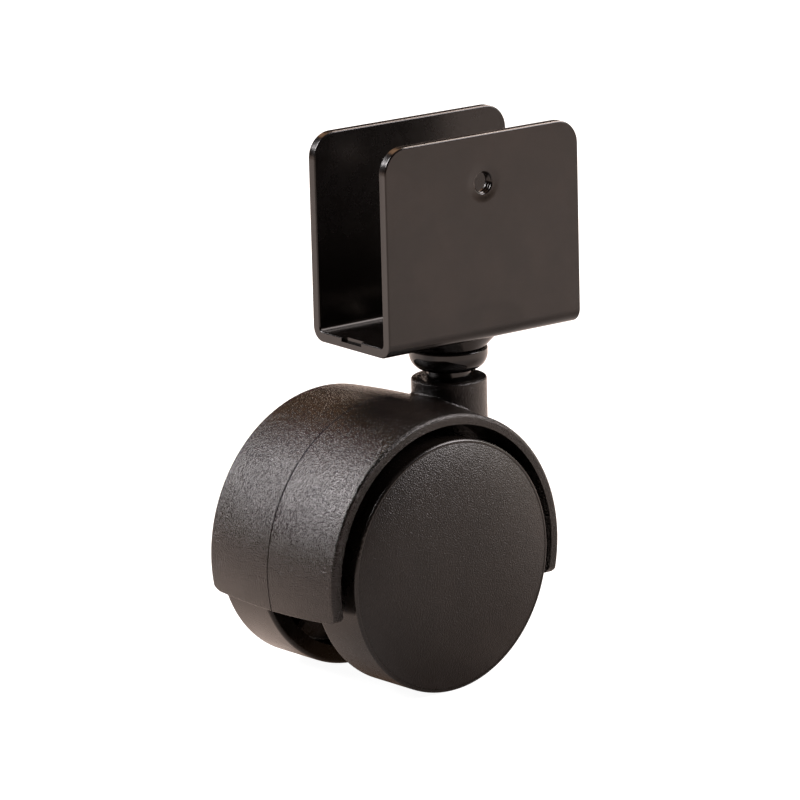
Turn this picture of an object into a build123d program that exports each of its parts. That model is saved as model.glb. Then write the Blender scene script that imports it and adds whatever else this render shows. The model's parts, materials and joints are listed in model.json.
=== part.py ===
from build123d import *
from math import asin, degrees, hypot, sqrt
import os

# Twin-wheel castor on a folded channel bracket that straddles the edge of a board.
# The origin is on the swivel axis, on the channel floor where the board sits, with +Z up.
# The flanges face along Y. The castor trails towards -X.

# Driving dimensions, in millimetres and degrees
# Bracket
board_slot = 20.5
sheet = 2.1
bracket_length = 47.4
flange_height = 39.0
fold_radius = 0.8
flange_corner_radius = 5.0
sheet_edge_round = 0.3
screw_hole_diameter = 4.2
screw_hole_height = 29.5
screw_hole_mouth_round = 0.3
end_notch_width = 6.4
end_notch_depth = 0.8
end_notch_height = 0.9
dish_face_radius = 7.3
dish_drop = 3.0
dish_half_length = 12.0
dish_half_width = 8.6
dish_face_round = 0.6
dish_root_round = 0.9

# King pin
rivet_head_radius = 5.4
rivet_head_height = 1.9
rivet_head_round = 1.4
rivet_radius = 3.25
collar_radius = 7.8
collar_height = 4.45
collar_top_round = 0.4
collar_bottom_round = 3.2
neck_show = 1.6
pin_radius = 4.5
pin_depth = 27.0
pin_tip_chamfer = 1.0
ring_depth = 19.0
ring_wire = 1.2
ring_bite = 0.75
ring_gap_angle = 40.0

# Wheels
wheel_radius = 25.0
tread_width = 12.6
tread_edge_round = 0.8
face_edge_round = 0.5
rim_thickness = 3.5
wheel_web = 2.0
wheel_web_inset = 5.0
hub_radius = 6.2
hub_length = 8.6
hub_proud = 0.3
rib_count = 8
rib_thickness = 1.4
rib_inset = 0.8
wheel_inner_round = 0.6

# Wheel covers
cover_seat_width = 2.8
cover_edge = 2.0
cover_dome = 1.0
cover_wall = 1.6
cover_edge_round = 0.3
cover_skirt = 1.5
cover_skirt_depth = 2.4

# Axle and clips
axle_radius = 3.0
axle_overhang = 1.2
axle_chamfer = 0.5
clip_thickness = 1.0
clip_groove_depth = 0.5
clip_radius = 5.2
clip_opening = 3.6

# Hood
trail = 18.3
socket_rise = 31.3
socket_radius = 7.5
socket_rim_round = 0.5
socket_mouth_chamfer = 1.6
socket_floor = 5.0
socket_foot_round = 1.0
socket_root_round = 0.5
tread_clearance = 2.5
hood_wall = 2.0
hood_crown = 0.8
hood_lip_inset = 2.0
hood_lip_round = 0.8
hood_forward = 0.5
hood_end_drop = 6.95
hood_end_bow = 0.75
hood_end_corner = 2.8
hood_end_margin = 0.25
hood_end_tilt = 1.5
hood_end_round = 0.3
hood_web = 3.0
hood_web_rise = 1.0
hood_rib_thickness = 1.8
hood_rib_angles = (112.0, 150.0, 188.0)
axle_boss_radius = 6.6
parting_line_width = 0.36

# Clearances and the pose that the castor rests in
wheel_side_clearance = 0.3
hub_side_clearance = 0.3
running_clearance = 0.05
press_clearance = 0.01
seat_clearance = 0.3
snap_clearance = 0.1
rest_swivel = 4.2

# Levels and stations that follow from the sizes above
dish_face = -sheet - dish_drop
collar_bottom = dish_face - collar_height
socket_top = collar_bottom - neck_show
axle_height = socket_top - socket_rise
pin_tip = socket_top - pin_depth
ring_level = socket_top - ring_depth
wheel_inner = socket_radius + wheel_side_clearance
wheel_outer = wheel_inner + tread_width
hub_inner = wheel_inner - hub_proud
boss_half_width = hub_inner - hub_side_clearance
hub_outer = hub_inner + hub_length
clip_inner = hub_outer + hub_side_clearance
axle_half_length = clip_inner + clip_thickness + axle_overhang
hood_inner_radius = wheel_radius + tread_clearance
hood_edge_radius = hood_inner_radius + hood_wall
hood_half_width = wheel_outer - hood_lip_inset
rim_inner_radius = wheel_radius - rim_thickness
cover_seat_radius = rim_inner_radius + cover_seat_width
cover_seat = wheel_outer - cover_edge

axle_line = Pos(-trail, 0, axle_height)
hood_line = Pos(hood_forward, 0, 0) * axle_line


def lathe(outline):
    """Turn an outline drawn with X as the radius and Y as the height about the Z axis."""
    return revolve(Plane.XZ * outline, Axis.Z)


def wheel_lathe(outline):
    """Turn an outline drawn with X as the place along the axle and Y as the radius."""
    return revolve(Plane.YZ * outline, Axis.Y)


def corner_near(outline, x, y):
    """The outline's corner that lies nearest to a place."""
    return outline.vertices().sort_by_distance(Vector(x, y))[0]


def make_bracket():
    """Folded channel with rounded flange corners, a pressed dish, screw holes and an end notch."""
    outer_width = board_slot + 2 * sheet
    full_height = flange_height + sheet
    outer = Pos(0, -sheet) * Rectangle(outer_width, full_height, align=(Align.CENTER, Align.MIN))
    inner = Rectangle(board_slot, 2 * flange_height, align=(Align.CENTER, Align.MIN))
    outer = fillet(outer.vertices().group_by(Axis.Y)[0], fold_radius + sheet)
    inner = fillet(inner.vertices().group_by(Axis.Y)[0], fold_radius)
    channel = extrude(Plane.YZ * (outer - inner), bracket_length / 2, both=True)

    side_view = Pos(0, -sheet) * Rectangle(
        bracket_length, full_height, align=(Align.CENTER, Align.MIN)
    )
    side_view = fillet(side_view.vertices().group_by(Axis.Y)[-1], flange_corner_radius)
    channel &= extrude(Plane.XZ * side_view, outer_width, both=True)

    def is_sheet_edge(edge):
        middle = edge.center()
        along_fold = abs(edge.tangent_at(0.5).X) > 0.99 and middle.Z < flange_height / 2
        across_sheet = abs(edge.tangent_at(0.5).Y) > 0.99 and edge.length < 1.5 * sheet
        return not along_fold and not across_sheet

    def is_dish_root(edge):
        points = [edge.position_at(share / 4) for share in range(5)]
        on_underside = all(abs(p.Z + sheet) < 0.01 for p in points)
        round_dish = all(
            abs(hypot(p.X / dish_half_length, p.Y / dish_half_width) - 1) < 0.01 for p in points
        )
        return on_underside and round_dish

    channel = fillet(channel.edges().filter_by(is_sheet_edge), sheet_edge_round)

    # The dish is pressed down from the floor, long way along the channel, at an even thickness
    under = Pos(0, 0, -sheet) * Ellipse(dish_half_length, dish_half_width)
    face = Pos(0, 0, dish_face) * Circle(dish_face_radius)
    boss = loft([face, under])
    lowest = boss.edges().sort_by(Axis.Z)[0]
    boss = fillet(lowest, dish_face_round)
    channel += boss + extrude(under, sheet / 2)
    flare = channel.edges().filter_by(is_dish_root)
    channel = fillet(flare, dish_root_round)
    long_slope = (dish_half_length - dish_face_radius) / dish_drop
    wide_slope = (dish_half_width - dish_face_radius) / dish_drop
    hollow_length = dish_half_length + sheet * (long_slope - hypot(1, long_slope))
    hollow_width = dish_half_width + sheet * (wide_slope - hypot(1, wide_slope))
    brim = Ellipse(hollow_length, hollow_width)
    bed = Pos(0, 0, -dish_drop) * Ellipse(
        hollow_length - dish_drop * long_slope, hollow_width - dish_drop * wide_slope
    )
    channel -= loft([bed, brim])
    channel -= Cylinder(rivet_radius + press_clearance, 4 * full_height)

    # Screw holes punched through both flanges, each drawn in round at its mouth
    hole_radius = screw_hole_diameter / 2
    punch = Rectangle(2 * outer_width, hole_radius, align=(Align.CENTER, Align.MIN))
    for side in (-1, 1):
        mouth = Pos(side * outer_width / 2, hole_radius) * Rectangle(
            2 * screw_hole_mouth_round, screw_hole_mouth_round, align=(Align.CENTER, Align.MIN)
        )
        lip_middle = Pos(
            side * (outer_width / 2 - screw_hole_mouth_round), hole_radius + screw_hole_mouth_round
        )
        punch += mouth - lip_middle * Circle(screw_hole_mouth_round)
    channel -= Pos(0, 0, screw_hole_height) * wheel_lathe(punch)

    notch = Box(2 * end_notch_depth, end_notch_width, 2 * end_notch_height)
    channel -= Pos(-bracket_length / 2, 0, 0) * notch
    return channel


def make_king_pin():
    """Turned pin: spun rivet head, tenon, rounded collar, neck and grooved shank."""
    head = Pos(0, -dish_drop) * Rectangle(
        rivet_head_radius, rivet_head_height, align=(Align.MIN, Align.MIN)
    )
    head = fillet(corner_near(head, rivet_head_radius, rivet_head_height - dish_drop), rivet_head_round)
    tenon = Pos(0, dish_face) * Rectangle(
        rivet_radius, sheet + rivet_head_height / 2, align=(Align.MIN, Align.MIN)
    )
    collar = Pos(0, collar_bottom) * Rectangle(
        collar_radius, collar_height, align=(Align.MIN, Align.MIN)
    )
    collar = fillet(corner_near(collar, collar_radius, dish_face), collar_top_round)
    collar = fillet(corner_near(collar, collar_radius, collar_bottom), collar_bottom_round)
    shank = Pos(0, pin_tip) * Rectangle(
        pin_radius, collar_bottom - pin_tip, align=(Align.MIN, Align.MIN)
    )
    shank = chamfer(corner_near(shank, pin_radius, pin_tip), pin_tip_chamfer)
    groove = Pos(pin_radius, ring_level) * Rectangle(2 * ring_bite, ring_wire + 2 * snap_clearance)
    return lathe(head + tenon + collar + shank - groove)


def make_snap_ring():
    """Split ring of round spring wire that sits in the pin's groove."""
    wire = Pos(pin_radius - ring_bite + ring_wire / 2, ring_level) * Circle(ring_wire / 2)
    ring = revolve(Plane.XZ * wire, Axis.Z, 360 - ring_gap_angle)
    return Rot(0, 0, ring_gap_angle / 2) * ring


def make_hood():
    """Crowned fender, socket column, middle web with its ribs and axle boss, as one moulding."""
    side_line = Line((hood_half_width, hood_edge_radius), (hood_half_width, 0))
    crown_line = ThreePointArc(
        (-hood_half_width, hood_edge_radius),
        (0, hood_edge_radius + hood_crown),
        (hood_half_width, hood_edge_radius),
    )
    barrel = make_face(
        [
            crown_line,
            side_line,
            Line((hood_half_width, 0), (-hood_half_width, 0)),
            Line((-hood_half_width, 0), (-hood_half_width, hood_edge_radius)),
        ]
    )
    lips = barrel.vertices().group_by(Axis.Y)[-1]
    barrel = wheel_lathe(fillet(lips, hood_lip_round))
    # Seen along X the moulding ends low down in a shallow bow between two round corners
    side = hood_half_width + hood_end_margin
    end_view = make_face(
        [
            ThreePointArc(
                (-side, -hood_end_drop), (0, -hood_end_drop - hood_end_bow), (side, -hood_end_drop)
            ),
            Line((side, -hood_end_drop), (side, hood_edge_radius)),
            Line((side, hood_edge_radius), (-side, hood_edge_radius)),
            Line((-side, hood_edge_radius), (-side, -hood_end_drop)),
        ]
    )
    end_view = fillet(end_view.vertices().group_by(Axis.Y)[0], hood_end_corner)
    reach = 2 * hood_edge_radius
    below = Pos(0, hood_end_corner - hood_end_drop) * Rectangle(
        reach, reach, align=(Align.CENTER, Align.MAX)
    )
    cut_away = Rot(0, hood_end_tilt, 0) * extrude(Plane.YZ * (below - end_view), reach, both=True)
    envelope = barrel - cut_away

    def is_hood_end(edge):
        points = [edge.position_at(share / 4) for share in range(5)]
        far_out = all(abs(p.X) > hood_inner_radius for p in points)
        return far_out and all(p.Z < hood_end_corner - hood_end_drop + 1 for p in points)

    envelope = fillet(envelope.edges().filter_by(is_hood_end), hood_end_round)

    inside = Cylinder(hood_inner_radius, 4 * hood_half_width, rotation=(90, 0, 0))
    shell = hood_line * (envelope - inside)

    # Middle web, its ribs and the axle boss, all between the wheels
    web = Cylinder(hood_inner_radius + hood_wall / 2, hood_web, rotation=(90, 0, 0))
    for angle in hood_rib_angles:
        rib = Box(
            hood_inner_radius + hood_wall / 2,
            2 * boss_half_width,
            hood_rib_thickness,
            align=(Align.MIN, Align.CENTER, Align.CENTER),
        )
        web += Rot(0, -angle, 0) * rib
    web &= Pos(0, 0, hood_web_rise - hood_end_drop) * Box(
        2 * reach, 2 * boss_half_width, reach, align=(Align.CENTER, Align.CENTER, Align.MIN)
    )
    boss = Cylinder(axle_boss_radius, 2 * boss_half_width, rotation=(90, 0, 0))
    hood = shell + axle_line * (web + boss)

    # Socket column on the swivel axis, closed below the pin's tip
    column_foot = pin_tip - seat_clearance - socket_floor
    column = Pos(0, column_foot) * Rectangle(
        socket_radius, socket_top - column_foot, align=(Align.MIN, Align.MIN)
    )
    column = fillet(corner_near(column, socket_radius, socket_top), socket_rim_round)
    column = fillet(corner_near(column, socket_radius, column_foot), socket_foot_round)
    hood += lathe(column)

    def is_socket_root(edge):
        points = [edge.position_at(share / 4) for share in range(5)]
        on_column = all(abs(hypot(p.X, p.Y) - socket_radius) < 0.01 for p in points)
        on_roof = all(
            hypot(p.X + trail - hood_forward, p.Z - axle_height) > hood_edge_radius - 0.01
            for p in points
        )
        below_rim = edge.center().Z < socket_top - 2 * socket_rim_round
        return on_column and on_roof and below_rim and edge.geom_type != GeomType.LINE

    hood = fillet(hood.edges().filter_by(is_socket_root), socket_root_round)

    # The parting line runs round the roof and stops at the foot of the socket
    parting = Pos(0, hood_edge_radius + hood_crown) * Rot(0, 0, 45) * Rectangle(
        parting_line_width / sqrt(2), parting_line_width / sqrt(2)
    )
    clear_of_socket = Cylinder(socket_radius + 1.5 * socket_root_round, 4 * socket_rise)
    hood -= hood_line * wheel_lathe(parting) - clear_of_socket

    bore_radius = pin_radius + running_clearance
    bore = Pos(0, pin_tip - seat_clearance) * Rectangle(
        bore_radius, socket_top - pin_tip + seat_clearance, align=(Align.MIN, Align.MIN)
    )
    mouth = Polygon(
        (0, socket_top),
        (bore_radius + socket_mouth_chamfer, socket_top),
        (bore_radius, socket_top - socket_mouth_chamfer),
        (0, socket_top - socket_mouth_chamfer),
        align=None,
    )
    ring_outer = pin_radius - ring_bite + ring_wire + seat_clearance
    ring_room = Pos(0, ring_level) * Rectangle(
        ring_outer, ring_wire + 2 * seat_clearance, align=(Align.MIN, Align.CENTER)
    )
    hood -= lathe(bore + mouth + ring_room)
    hood -= axle_line * Cylinder(
        axle_radius + press_clearance, 4 * boss_half_width, rotation=(90, 0, 0)
    )
    return hood


def make_axle():
    """Plain steel pin with a clip groove near each end."""
    body = Rectangle(2 * axle_half_length, axle_radius, align=(Align.CENTER, Align.MIN))
    body = chamfer(body.vertices().group_by(Axis.Y)[-1], axle_chamfer)
    for side in (-1, 1):
        middle = side * (clip_inner + clip_thickness / 2)
        body -= Pos(middle, axle_radius) * Rectangle(
            clip_thickness + 2 * snap_clearance, 2 * clip_groove_depth
        )
    return wheel_lathe(body)


def make_axle_clip():
    """Open spring clip that snaps sideways into the axle's groove."""
    inner = axle_radius - clip_groove_depth + press_clearance
    flat = Circle(clip_radius) - Circle(inner)
    flat -= Pos(clip_radius, 0) * Rectangle(2 * clip_radius, clip_opening)
    clip = extrude(Plane.XZ * flat, clip_thickness / 2, both=True)
    return Pos(0, clip_inner + clip_thickness / 2, 0) * clip


def make_wheel():
    """Moulded wheel: rounded tread rim, web, ribs on the inner side, and hub."""
    rim = make_face(
        Polyline(
            (wheel_inner, rim_inner_radius),
            (wheel_inner, wheel_radius),
            (wheel_outer, wheel_radius),
            (wheel_outer, cover_seat_radius),
            (cover_seat, cover_seat_radius),
            (cover_seat, rim_inner_radius),
            close=True,
        )
    )
    rim = fillet(corner_near(rim, wheel_inner, wheel_radius), tread_edge_round)
    rim = fillet(corner_near(rim, wheel_outer, wheel_radius), face_edge_round)
    web = Pos(wheel_inner + wheel_web_inset, 0) * Rectangle(
        wheel_web, rim_inner_radius + rim_thickness / 2, align=(Align.MIN, Align.MIN)
    )
    hub = Pos(hub_inner, 0) * Rectangle(hub_length, hub_radius, align=(Align.MIN, Align.MIN))
    section = rim + web + hub
    for along in (wheel_inner + wheel_web_inset, wheel_inner + wheel_web_inset + wheel_web):
        for radius in (hub_radius, rim_inner_radius):
            section = fillet(corner_near(section, along, radius), wheel_inner_round)
    wheel = wheel_lathe(section)
    rib_depth = wheel_web_inset - rib_inset + wheel_web / 2
    for index in range(rib_count):
        rib = Box(
            rim_inner_radius + rim_thickness / 2 - hub_radius / 2,
            rib_depth,
            rib_thickness,
            align=(Align.MIN, Align.MIN, Align.CENTER),
        )
        rib = Pos(hub_radius / 2, wheel_inner + rib_inset, 0) * rib
        wheel += Rot(0, 360 * index / rib_count, 0) * rib
    bore = Cylinder(axle_radius + running_clearance, 4 * wheel_outer, rotation=(90, 0, 0))
    return wheel - bore


def make_wheel_cover():
    """Snap-on disc with a slightly domed face, and a skirt that grips inside the rim."""
    edge = cover_seat_radius - snap_clearance
    dome_radius = (edge**2 + cover_dome**2) / (2 * cover_dome)
    dome = make_face(
        [
            Line((cover_seat, 0), (cover_seat, edge)),
            Line((cover_seat, edge), (wheel_outer, edge)),
            CenterArc(
                (wheel_outer + cover_dome - dome_radius, 0),
                dome_radius,
                0,
                degrees(asin(edge / dome_radius)),
            ),
            Line((wheel_outer + cover_dome, 0), (cover_seat, 0)),
        ]
    )
    dome = fillet(corner_near(dome, wheel_outer, edge), cover_edge_round)
    skirt_outer = rim_inner_radius - snap_clearance
    skirt_inner = skirt_outer - cover_skirt
    skirt = Pos(cover_seat - cover_skirt_depth, skirt_inner) * Rectangle(
        cover_skirt_depth + cover_edge / 2, cover_skirt, align=(Align.MIN, Align.MIN)
    )
    hollow = Pos(cover_seat, 0) * Rectangle(
        cover_edge - cover_wall, skirt_inner, align=(Align.MIN, Align.MIN)
    )
    return wheel_lathe(dome + skirt - hollow)


turn = Rot(0, 0, rest_swivel)
far_side = turn * axle_line
near_side = far_side * Rot(0, 0, 180)

pieces = {
    "u_bracket": make_bracket(),
    "king_pin": make_king_pin(),
    "snap_ring": make_snap_ring(),
    "hood": turn * make_hood(),
    "axle": far_side * make_axle(),
}
for name, side in (("near", near_side), ("far", far_side)):
    pieces[name + "_wheel"] = side * make_wheel()
    pieces[name + "_wheel_cover"] = side * make_wheel_cover()
    pieces[name + "_axle_clip"] = side * make_axle_clip()

os.makedirs("parts", exist_ok=True)
for name, piece in pieces.items():
    piece.label = name
    export_step(piece, "parts/" + name + ".step")
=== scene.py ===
import json

import bpy
import numpy as np
from mathutils import Matrix, Vector


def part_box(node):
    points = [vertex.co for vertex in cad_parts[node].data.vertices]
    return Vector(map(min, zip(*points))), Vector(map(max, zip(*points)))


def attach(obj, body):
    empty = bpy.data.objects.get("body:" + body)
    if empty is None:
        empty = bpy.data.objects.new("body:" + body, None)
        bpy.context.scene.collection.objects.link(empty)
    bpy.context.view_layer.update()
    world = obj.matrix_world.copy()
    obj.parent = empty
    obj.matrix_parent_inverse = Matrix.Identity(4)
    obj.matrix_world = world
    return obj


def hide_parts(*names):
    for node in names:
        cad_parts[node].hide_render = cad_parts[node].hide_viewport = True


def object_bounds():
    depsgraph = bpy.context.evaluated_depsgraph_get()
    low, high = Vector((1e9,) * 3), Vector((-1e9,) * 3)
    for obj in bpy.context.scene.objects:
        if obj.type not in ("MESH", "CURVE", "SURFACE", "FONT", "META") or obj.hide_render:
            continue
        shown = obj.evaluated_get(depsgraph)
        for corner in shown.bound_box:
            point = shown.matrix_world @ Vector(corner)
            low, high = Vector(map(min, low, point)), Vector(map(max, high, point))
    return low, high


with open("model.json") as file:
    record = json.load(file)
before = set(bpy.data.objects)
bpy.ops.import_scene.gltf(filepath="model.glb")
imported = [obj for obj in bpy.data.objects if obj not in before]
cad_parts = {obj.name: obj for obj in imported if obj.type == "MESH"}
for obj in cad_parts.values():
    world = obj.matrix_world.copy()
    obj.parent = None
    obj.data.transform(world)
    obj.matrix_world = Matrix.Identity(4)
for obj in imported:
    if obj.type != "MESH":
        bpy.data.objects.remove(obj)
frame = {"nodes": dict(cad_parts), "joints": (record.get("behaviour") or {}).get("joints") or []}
cad_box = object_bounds()

# Channel bracket
# One steel sheet, blanked, folded into a channel and dipped in gloss black
# enamel, which flows thin at the edges and keeps a faint orange-peel ripple.


class Wire:
    """A shader socket that Python arithmetic can work on: each operator adds a Math node."""

    def __init__(self, tree, socket):
        self.tree = tree
        self.socket = socket

    def node(self, kind, inputs, settings=None, out=0):
        """Add a node of a type, set its settings first, then fill or link its sockets."""
        made = self.tree.nodes.new(kind)
        for key, value in (settings or {}).items():
            setattr(made, key, value)
        for key, value in inputs.items():
            if isinstance(value, Wire):
                self.tree.links.new(value.socket, made.inputs[key])
            else:
                made.inputs[key].default_value = value
        return Wire(self.tree, made.outputs[out])

    def maths(self, operation, other=None):
        """Add a Math node on this value, and on another if one is given."""
        inputs = {0: self} if other is None else {0: self, 1: other}
        return self.node("ShaderNodeMath", inputs, {"operation": operation})

    def vector(self, operation, other=None, out=0):
        """Add a Vector Math node on this vector; its output 1 is a number."""
        inputs = {0: self} if other is None else {0: self, 1: other}
        return self.node("ShaderNodeVectorMath", inputs, {"operation": operation}, out)

    def __add__(self, other):
        return self.maths("ADD", other)

    __radd__ = __add__

    def __mul__(self, other):
        return self.maths("MULTIPLY", other)

    __rmul__ = __mul__

    def __sub__(self, other):
        return self.maths("SUBTRACT", other)

    def __rsub__(self, other):
        return self.node("ShaderNodeMath", {0: other, 1: self}, {"operation": "SUBTRACT"})

    def __truediv__(self, other):
        return self.maths("DIVIDE", other)

    def __pow__(self, other):
        return self.maths("POWER", other)

    def band(self, low, high):
        """0 below low, 1 above high and a smooth step between."""
        return self.node(
            "ShaderNodeMapRange",
            {"Value": self, "From Min": low, "From Max": high},
            {"interpolation_type": "SMOOTHSTEP"},
        )

    def noise(self, scale, detail=2.0, roughness=0.5):
        """Soft noise around 0.5 on this vector, in cells per metre."""
        return self.node(
            "ShaderNodeTexNoise",
            {"Vector": self, "Scale": scale, "Detail": detail, "Roughness": roughness},
        )

    def axes(self):
        """The three numbers of this vector."""
        split = self.tree.nodes.new("ShaderNodeSeparateXYZ")
        self.tree.links.new(self.socket, split.inputs[0])
        return [Wire(self.tree, output) for output in split.outputs]

    def tint(self, low, high):
        """Colour between low and high as this value goes from 0 to 1. Low may be a Wire."""
        start = low if isinstance(low, Wire) else (*low, 1)
        return self.node(
            "ShaderNodeMix", {"Factor": self, "A": start, "B": (*high, 1)}, {"data_type": "RGBA"}, 2
        )


def paint_job(name, gloss):
    """A material, its Principled shader with the given constants, and a Wire of the place in metres."""
    made = bpy.data.materials.new(name)
    made.use_nodes = True
    tree = made.node_tree
    shader = tree.nodes["Principled BSDF"]
    for socket, value in gloss.items():
        shader.inputs[socket].default_value = value
    place = tree.nodes.new("ShaderNodeTexCoord")
    return made, shader, Wire(tree, place.outputs["Object"])


def feed(shader, socket, wire):
    """Link a varying value to one of the shader's sockets."""
    wire.tree.links.new(wire.socket, shader.inputs[socket])


def raised(height, depth):
    """Normal of a surface that stands proud by depth metres where height is 1."""
    return height.node("ShaderNodeBump", {"Height": height, "Strength": 1.0, "Distance": depth})


def dress(node, material):
    """Give a CAD node its finish."""
    piece = frame["nodes"][node]
    piece.data.materials.clear()
    piece.data.materials.append(material)


coat_ior = 1.5
enamel_black = (0.0030, 0.0022, 0.0019)
enamel_pale_tone = (0.0140, 0.0100, 0.0082)
enamel, shader, spot = paint_job("stove_enamel", {"IOR": coat_ior})
along, across, above = spot.axes()
ripple = spot.noise(420.0, 3.0, 0.55)
mottle = spot.noise(130.0, 5.0, 0.65)
# The paler mottled tone goes only on the outer faces, so the inner faces of the channel stay black:
# painted shade inside the channel, laid over a random mottle.
skin_from, skin_to = 0.0103, 0.0123
outside = across.maths("ABSOLUTE").band(skin_from, skin_to)
feed(shader, "Base Color", (mottle.band(0.35, 0.70) * outside).tint(enamel_black, enamel_pale_tone))

# The punch drew each screw hole's mouth in a little, and the press that sank the
# dish left a faint lens-shaped hollow low on each flange. Both depths, and the
# ripple's, are in millimetres. The coat is thinner and duller high up inside.
hole_height = 0.0295
hole_radius = 0.0021
draw_reach = 0.0042
draw_depth = 0.16
from_hole = (along**2.0 + (above - hole_height) ** 2.0) ** 0.5
drawn_in = 1.0 - from_hole.band(hole_radius, draw_reach)
mark_along, mark_above = 0.001, 0.0016
mark_half_width, mark_half_height = 0.0088, 0.0040
mark_depth = 0.11
mark_sideways = (along - mark_along) / mark_half_width
mark_upwards = (above - mark_above) / mark_half_height
hollow = (1.0 - (mark_sideways**2.0 + mark_upwards**2.0)).maths("MAXIMUM", 0.0)
marked = (hollow * 8.0).maths("MINIMUM", 1.0)
ripple_height = 0.016
glossiest = 0.10
thin_from, thin_to = 0.006, 0.020
thin_coat = (1.0 - outside) * above.band(thin_from, thin_to) * 0.09
feed(shader, "Roughness", mottle * 0.10 + ripple * 0.06 + glossiest + marked * 0.05 + thin_coat)
relief = ripple * ripple_height - drawn_in * draw_depth - hollow * mark_depth
millimetre = 0.001
feed(shader, "Normal", raised(relief, millimetre))
dress("u_bracket", enamel)

# Threads in the screw holes
# A fine thread is cut through each flange, so a machine screw can clamp the
# board. The sleeve is let into the wall of the plain hole and enamelled with it.
flange_middle = 0.0113
flange_thickness = 0.0021
thread_pitch = 0.0007
thread_depth = 0.00026
thread_root = hole_radius + 0.00002
thread_back = hole_radius + 0.0002
thread_margin = 0.00022
thread_roughness = 0.12
thread_rows = 64
thread_steps = 96


def thread_sleeve(name, middle):
    """Closed sleeve whose inner wall carries one thread.

    At a turn t and a depth d the wall's radius is the root radius less the
    thread's depth times a triangle wave of (d - pitch * t) / pitch, which fades
    out near both faces of the sheet. Two more rows close it at the back.
    """
    turn = np.linspace(0, 1, thread_steps, endpoint=False)[:, None]
    half = flange_thickness / 2 - thread_margin
    deep = np.linspace(-half, half, thread_rows)[None, :]
    wave = 1 - np.abs(2 * ((deep / thread_pitch - turn) % 1) - 1)
    fade = np.clip((half - np.abs(deep)) / thread_margin, 0, 1)
    wall = thread_root - thread_depth * wave * fade
    wall = np.hstack((wall, np.full((thread_steps, 2), thread_back)))
    deep = np.hstack((deep, [[half, -half]])) + 0 * turn
    swing = turn * 2 * np.pi
    points = np.stack((wall * np.cos(swing), middle + deep, hole_height + wall * np.sin(swing)), 2)
    rows = thread_rows + 2
    corner = np.arange(thread_steps * rows).reshape(thread_steps, rows)
    beside = np.roll(corner, -1, 0)
    faces = np.stack((corner, beside, np.roll(beside, -1, 1), np.roll(corner, -1, 1)), 2).reshape(-1, 4)
    made = bpy.data.meshes.new(name)
    made.from_pydata(points.reshape(-1, 3).tolist(), [], faces.tolist())
    made.shade_smooth()
    piece = bpy.data.objects.new(name, made)
    bpy.context.scene.collection.objects.link(piece)
    piece.data.materials.append(thread_paint)
    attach(piece, "bracket")


thread_paint, shader, spot = paint_job("thread_paint", {"Roughness": thread_roughness, "IOR": coat_ior})
feed(shader, "Base Color", spot.noise(900.0).tint(enamel_black, enamel_pale_tone))
for name, middle in (("near_thread", -flange_middle), ("far_thread", flange_middle)):
    thread_sleeve(name, middle)

# King pin
# Turned steel, riveted into the pressed dish of the bracket and enamelled with
# it. Only the round collar and a few millimetres of neck show.
pin_black = (0.0050, 0.0046, 0.0044)
streak_height = 0.000006
pin_gloss, shader, spot = paint_job("pin_enamel", {"Base Color": (*pin_black, 1), "IOR": coat_ior})
streak = spot.noise(700.0, 2.0)
feed(shader, "Roughness", streak * 0.10 + 0.05)
feed(shader, "Normal", raised(streak, streak_height))
dress("king_pin", pin_gloss)

# Snap ring, axle and axle clips
# Bright drawn and sprung steel, oiled and left bare inside the mouldings.
bright_steel = (0.42, 0.42, 0.43)
oiled_steel = (0.20, 0.20, 0.21)
steel, shader, spot = paint_job("oiled_steel", {"Metallic": 1.0})
film = spot.noise(900.0, 3.0)
feed(shader, "Base Color", film.tint(oiled_steel, bright_steel))
feed(shader, "Roughness", film * 0.25 + 0.18)
for node in ("snap_ring", "axle", "near_axle_clip", "far_axle_clip"):
    dress(node, steel)

# Hood
# One nylon moulding from a tool with a fine spark-eroded grain. It takes the
# pin in its socket and covers both wheels, with a parting line round its middle.
nylon_deep = (0.0045, 0.0032, 0.0026)
nylon_pale = (0.0085, 0.0062, 0.0050)
pebble_height = 0.00018
grained, shader, spot = paint_job("grained_nylon", {"IOR": coat_ior})
pebbles = spot.noise(3500.0, 1.0, 0.6)
drift = spot.noise(140.0, 3.0)
feed(shader, "Base Color", drift.band(0.3, 0.7).tint(nylon_deep, nylon_pale))
feed(shader, "Roughness", pebbles * 0.10 + 0.15)
feed(shader, "Normal", raised(pebbles, pebble_height))
dress("hood", grained)

# Wheels
# Moulded nylon, turned out of a polished tool, so the treads are smooth.
tread_black = (0.0050, 0.0036, 0.0028)
tread_worn = (0.0085, 0.0062, 0.0050)
drag_height = 0.00001
smooth_nylon, shader, spot = paint_job("smooth_nylon", {"IOR": coat_ior})
drag = spot.noise(300.0, 3.0)
feed(shader, "Base Color", drag.tint(tread_black, tread_worn))
feed(shader, "Roughness", drag * 0.15 + 0.2)
feed(shader, "Normal", raised(drag, drag_height))
for node in ("near_wheel", "far_wheel"):
    dress(node, smooth_nylon)

# Wheel covers
# Snap-on discs of the hood's grained nylon with a slightly domed face, a fine
# round at the edge and a skirt behind that grips inside the rim.
cover_edge = 0.02428
cover_back = 0.0184
cover_front = 0.0204
cover_rise = 0.001
cover_round = 0.0001
cover_skirt_radii = (0.0199, 0.0214)
cover_skirt_end = 0.0160
cover_wall_back = 0.0188
cover_face_rings = 25
cover_round_rings = 8
cover_turns = 144
cover_sharp = np.radians(40)


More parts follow.
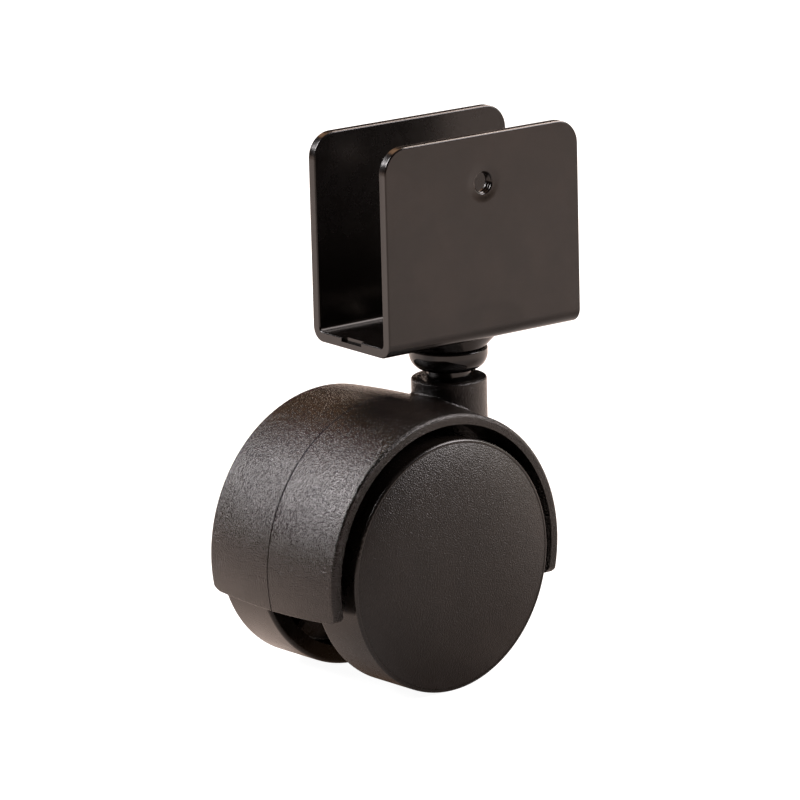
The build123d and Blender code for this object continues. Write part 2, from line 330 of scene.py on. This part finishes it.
def cover_profile():
    """Points (along the axle, out from it) from the middle of a cover's face to that of its back.

    The face is an arc whose rise at the middle is cover_rise and which meets a
    quarter round at the edge. The rest is straight: the side, the seat, the
    skirt and the hollow behind the face.
    """
    dome_radius = (cover_edge**2 + cover_rise**2) / (2 * cover_rise)
    flat_end = cover_edge - cover_round
    out = flat_end * np.linspace(0, 1, cover_face_rings) ** 0.7
    along = cover_front + cover_rise - dome_radius + np.sqrt(dome_radius**2 - out**2)
    swing = np.linspace(0, np.pi / 2, cover_round_rings)[1:]
    corner_along = along[-1] - cover_round + cover_round * np.cos(swing)
    corner_out = flat_end + cover_round * np.sin(swing)
    inner, outer = cover_skirt_radii
    rest = np.array(
        (
            (cover_back, cover_edge),
            (cover_back, outer),
            (cover_skirt_end, outer),
            (cover_skirt_end, inner),
            (cover_wall_back, inner),
            (cover_wall_back, 0.0),
        )
    )
    return np.vstack((np.column_stack((along, out)), np.column_stack((corner_along, corner_out)), rest))


def turned(name, profile, centre, outward, steps):
    """Closed disc, swept by a profile round an axle.

    Ring k of the grid is the profile turned by k/steps of a full turn: a point
    is the centre, plus its first number along the axle, plus its second number
    times the turned arm, which is arm_a cos + arm_b sin. The two ends of the
    profile lie on the axle and are one point each.
    """
    angle = np.arange(steps) * 2 * np.pi / steps
    arm_a = np.array((0.0, 0.0, 1.0))
    arm_b = np.cross(outward, arm_a)
    arm = np.cos(angle)[:, None] * arm_a + np.sin(angle)[:, None] * arm_b
    grid = centre + profile[None, :, :1] * outward + profile[None, :, 1:] * arm[:, None, :]
    points = np.vstack((grid[0, :1], grid[:, 1:-1].reshape(-1, 3), grid[0, -1:]))
    first, last = np.zeros(steps, int), np.full(steps, len(points) - 1)
    corner = np.arange(1, len(points) - 1).reshape(steps, -1)
    beside = np.roll(corner, -1, 0)
    walls = np.stack((corner[:, :-1], corner[:, 1:], beside[:, 1:], beside[:, :-1]), 2).reshape(-1, 4)
    front = np.column_stack((first, corner[:, 0], beside[:, 0]))
    rear = np.column_stack((corner[:, -1], last, beside[:, -1]))
    faces = front.tolist() + walls.tolist() + rear.tolist()
    made = bpy.data.meshes.new(name)
    made.from_pydata(points.tolist(), [], faces)
    piece = bpy.data.objects.new(name, made)
    bpy.context.scene.collection.objects.link(piece)
    return piece


# The face falls away a little more towards its edge, as a shrunk moulding does.
face_nylon, shader, spot = paint_job("face_nylon", {"IOR": coat_ior})
face_relief = 0.00020
face_sag = 9.0
grain = spot.noise(3700.0, 1.0, 0.6)
drift = spot.noise(140.0, 3.0)
spins = [joint for joint in frame["joints"] if joint["name"] in ("near_wheel_spin", "far_wheel_spin")]
arm = spot.vector("SUBTRACT", tuple(spins[0]["pos_m"]))
from_axle = arm.vector("CROSS_PRODUCT", tuple(spins[0]["axis"])).vector("LENGTH", out=1)
sag = (from_axle / cover_edge) ** 4.0 * -face_sag
feed(shader, "Base Color", drift.band(0.3, 0.7).tint(nylon_deep, nylon_pale))
feed(shader, "Roughness", grain * 0.14 + 0.25)
feed(shader, "Normal", raised(grain * 0.7 + sag, face_relief))

for joint in spins:
    side = joint["name"].split("_")[0]
    axle = np.array(joint["axis"], float)
    centre = np.array(joint["pos_m"], float)
    seat = (sum(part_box(side + "_wheel_cover"), Vector()) / 2 - Vector(centre)).dot(Vector(axle))
    face = turned(side + "_wheel_face", cover_profile(), centre, axle * np.sign(seat), cover_turns)
    face.data.shade_smooth()
    face.data.set_sharp_from_angle(angle=cover_sharp)
    face.data.materials.append(face_nylon)
    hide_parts(side + "_wheel_cover")
    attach(face, side + "_wheel")

# Floor and backdrop
# A white sweep that keeps a soft shadow of the wheels. The camera sees it lit to
# white. In the gloss of the part its glow is painted: a warm floor in a dim room,
# with a painted pool of light behind the castor and painted shade in front on the
# right, under the castor and far to the left.
sweep_reach = 3.0
sweep_white = (0.95, 0.95, 0.95)
floor_level = cad_box[0][2]
sheet = bpy.data.meshes.new("sweep")
corners = np.array(((-1, -1, 0), (1, -1, 0), (1, 1, 0), (-1, 1, 0))) * sweep_reach
sheet.from_pydata((corners + (0, 0, floor_level)).tolist(), [], [(0, 1, 2, 3)])
sweep = bpy.data.objects.new("sweep", sheet)
bpy.context.scene.collection.objects.link(sweep)
paper = bpy.data.materials.new("paper")
paper.use_nodes = True
tree = paper.node_tree
tree.nodes.clear()
spot = Wire(tree, tree.nodes.new("ShaderNodeTexCoord").outputs["Object"])


def ray(tree, kind):
    """1 for rays of one kind and 0 for all others."""
    return Wire(tree, tree.nodes.new("ShaderNodeLightPath").outputs[kind])


def away_from(x, y):
    """Distance of the place on the floor from one point of it."""
    return spot.vector("DISTANCE", (x, y, floor_level), 1)


# Painted pool of light and painted shadows in the floor's glow, seen only in the gloss of the part.
front_right = away_from(0.025, -0.055)
behind = away_from(-0.05, 0.035)
under = away_from(-0.012, -0.014)
far_left = away_from(-0.23, 0.02)
lit = front_right.band(0.03, 0.21) * 0.75 + front_right.band(0.2, 0.5) * 0.25
lit = lit + (1.0 - behind.band(0.01, 0.05)) * 0.8
lit = lit * (under.band(0.01, 0.035) * 0.75 + 0.25) * (far_left.band(0.05, 0.12) * 0.8 + 0.2)
direct = ray(tree, "Is Camera Ray").maths("MAXIMUM", ray(tree, "Is Transmission Ray"))
seen = direct.maths("MAXIMUM", ray(tree, "Is Glossy Ray"))
matt = tree.nodes.new("ShaderNodeBsdfDiffuse")
matt.inputs["Color"].default_value = (0.30, 0.30, 0.30, 1)
glow = tree.nodes.new("ShaderNodeEmission")
floor_unlit = (0.08, 0.035, 0.01)
floor_lit = (0.74, 0.53, 0.42)
tree.links.new(direct.tint(lit.tint(floor_unlit, floor_lit), sweep_white).socket, glow.inputs["Color"])
tree.links.new(seen.socket, glow.inputs["Strength"])
both = tree.nodes.new("ShaderNodeAddShader")
tree.links.new(matt.outputs[0], both.inputs[0])
tree.links.new(glow.outputs[0], both.inputs[1])
out = tree.nodes.new("ShaderNodeOutputMaterial")
tree.links.new(both.outputs[0], out.inputs["Surface"])
sheet.materials.append(paper)

# Studio light
# A dim room that the camera sees as white, with square soft boxes round the part:
# a strong one at the camera's left, a weaker one at its right with a dim one above
# and one below it, and two behind. Each has its angle round from the camera and up
# from level, in degrees, and its radiance.
world = bpy.data.worlds.new("studio")
bpy.context.scene.world = world
world.use_nodes = True
tree = world.node_tree
tree.nodes.clear()
seen = ray(tree, "Is Camera Ray").maths("MAXIMUM", ray(tree, "Is Transmission Ray"))
air = tree.nodes.new("ShaderNodeBackground")
air.inputs["Color"].default_value = (0.97, 0.97, 0.97, 1)
room = 0.01
tree.links.new((seen * (1.0 - room) + room).socket, air.inputs["Strength"])
out = tree.nodes.new("ShaderNodeOutputWorld")
tree.links.new(air.outputs[0], out.inputs["Surface"])

aim = Vector((-0.012, 0.0, -0.02))
box_away = 0.75
box_size = 0.36
camera_side = np.radians(-127.0)
soft_boxes = (
    ("left_box", 94, 38, (24.0, 22.7, 22.9)),
    ("high_right_box", 248, 46, (5.4, 4.8, 4.6)),
    ("right_box", 268, 34, (10.4, 9.6, 9.9)),
    ("back_right_box", 203, 40, (12.0, 9.6, 8.2)),
    ("low_right_box", 252, 16, (2.6, 2.4, 2.1)),
    ("back_left_box", 162, 48, (1.6, 0.9, 0.5)),
)
for name, around, raise_by, radiance in soft_boxes:
    lamp = bpy.data.lights.new(name, "AREA")
    lamp.shape = "SQUARE"
    lamp.size = box_size
    power = max(radiance)
    lamp.energy = power * np.pi * box_size**2
    lamp.color = [part / power for part in radiance]
    holder = bpy.data.objects.new(name, lamp)
    swing, lift = camera_side - np.radians(around), np.radians(raise_by)
    direction = Vector((np.cos(swing) * np.cos(lift), np.sin(swing) * np.cos(lift), np.sin(lift)))
    holder.location = aim + direction * box_away
    holder.rotation_euler = direction.to_track_quat("Z", "Y").to_euler()
    bpy.context.scene.collection.objects.link(holder)

# Camera
# The photograph's viewpoint, found by fitting the object's measured edges: a
# long lens a metre away, looking down a little and rolled slightly.
turn_about = np.radians(-37.0522)
look_down = np.radians(14.0266)
roll = np.radians(-1.4959)
stand_off = 1.01815
looks_at = np.array((-0.01077, 0.00191, -0.01459))
focal_px = 5188.0
photo_px = 800.0
film_mm = 36.0
back = np.array(
    (
        np.sin(turn_about) * np.cos(look_down),
        -np.cos(turn_about) * np.cos(look_down),
        np.sin(look_down),
    )
)
level = np.array((np.cos(turn_about), np.sin(turn_about), 0.0))
upright = np.cross(back, level)
right = np.cos(roll) * level + np.sin(roll) * upright
up = np.cos(roll) * upright - np.sin(roll) * level
lens = bpy.data.cameras.new("camera")
lens.sensor_width = film_mm
lens.lens = focal_px / photo_px * film_mm
lens.clip_end = 20.0
camera = bpy.data.objects.new("camera", lens)
bpy.context.scene.collection.objects.link(camera)
place = looks_at + stand_off * back
camera.matrix_world = Matrix(
    [[*row, at] for row, at in zip(np.column_stack((right, up, back)).tolist(), place.tolist())]
    + [[0, 0, 0, 1]]
)
bpy.context.scene.camera = camera
bpy.context.scene.view_settings.view_transform = "Standard"
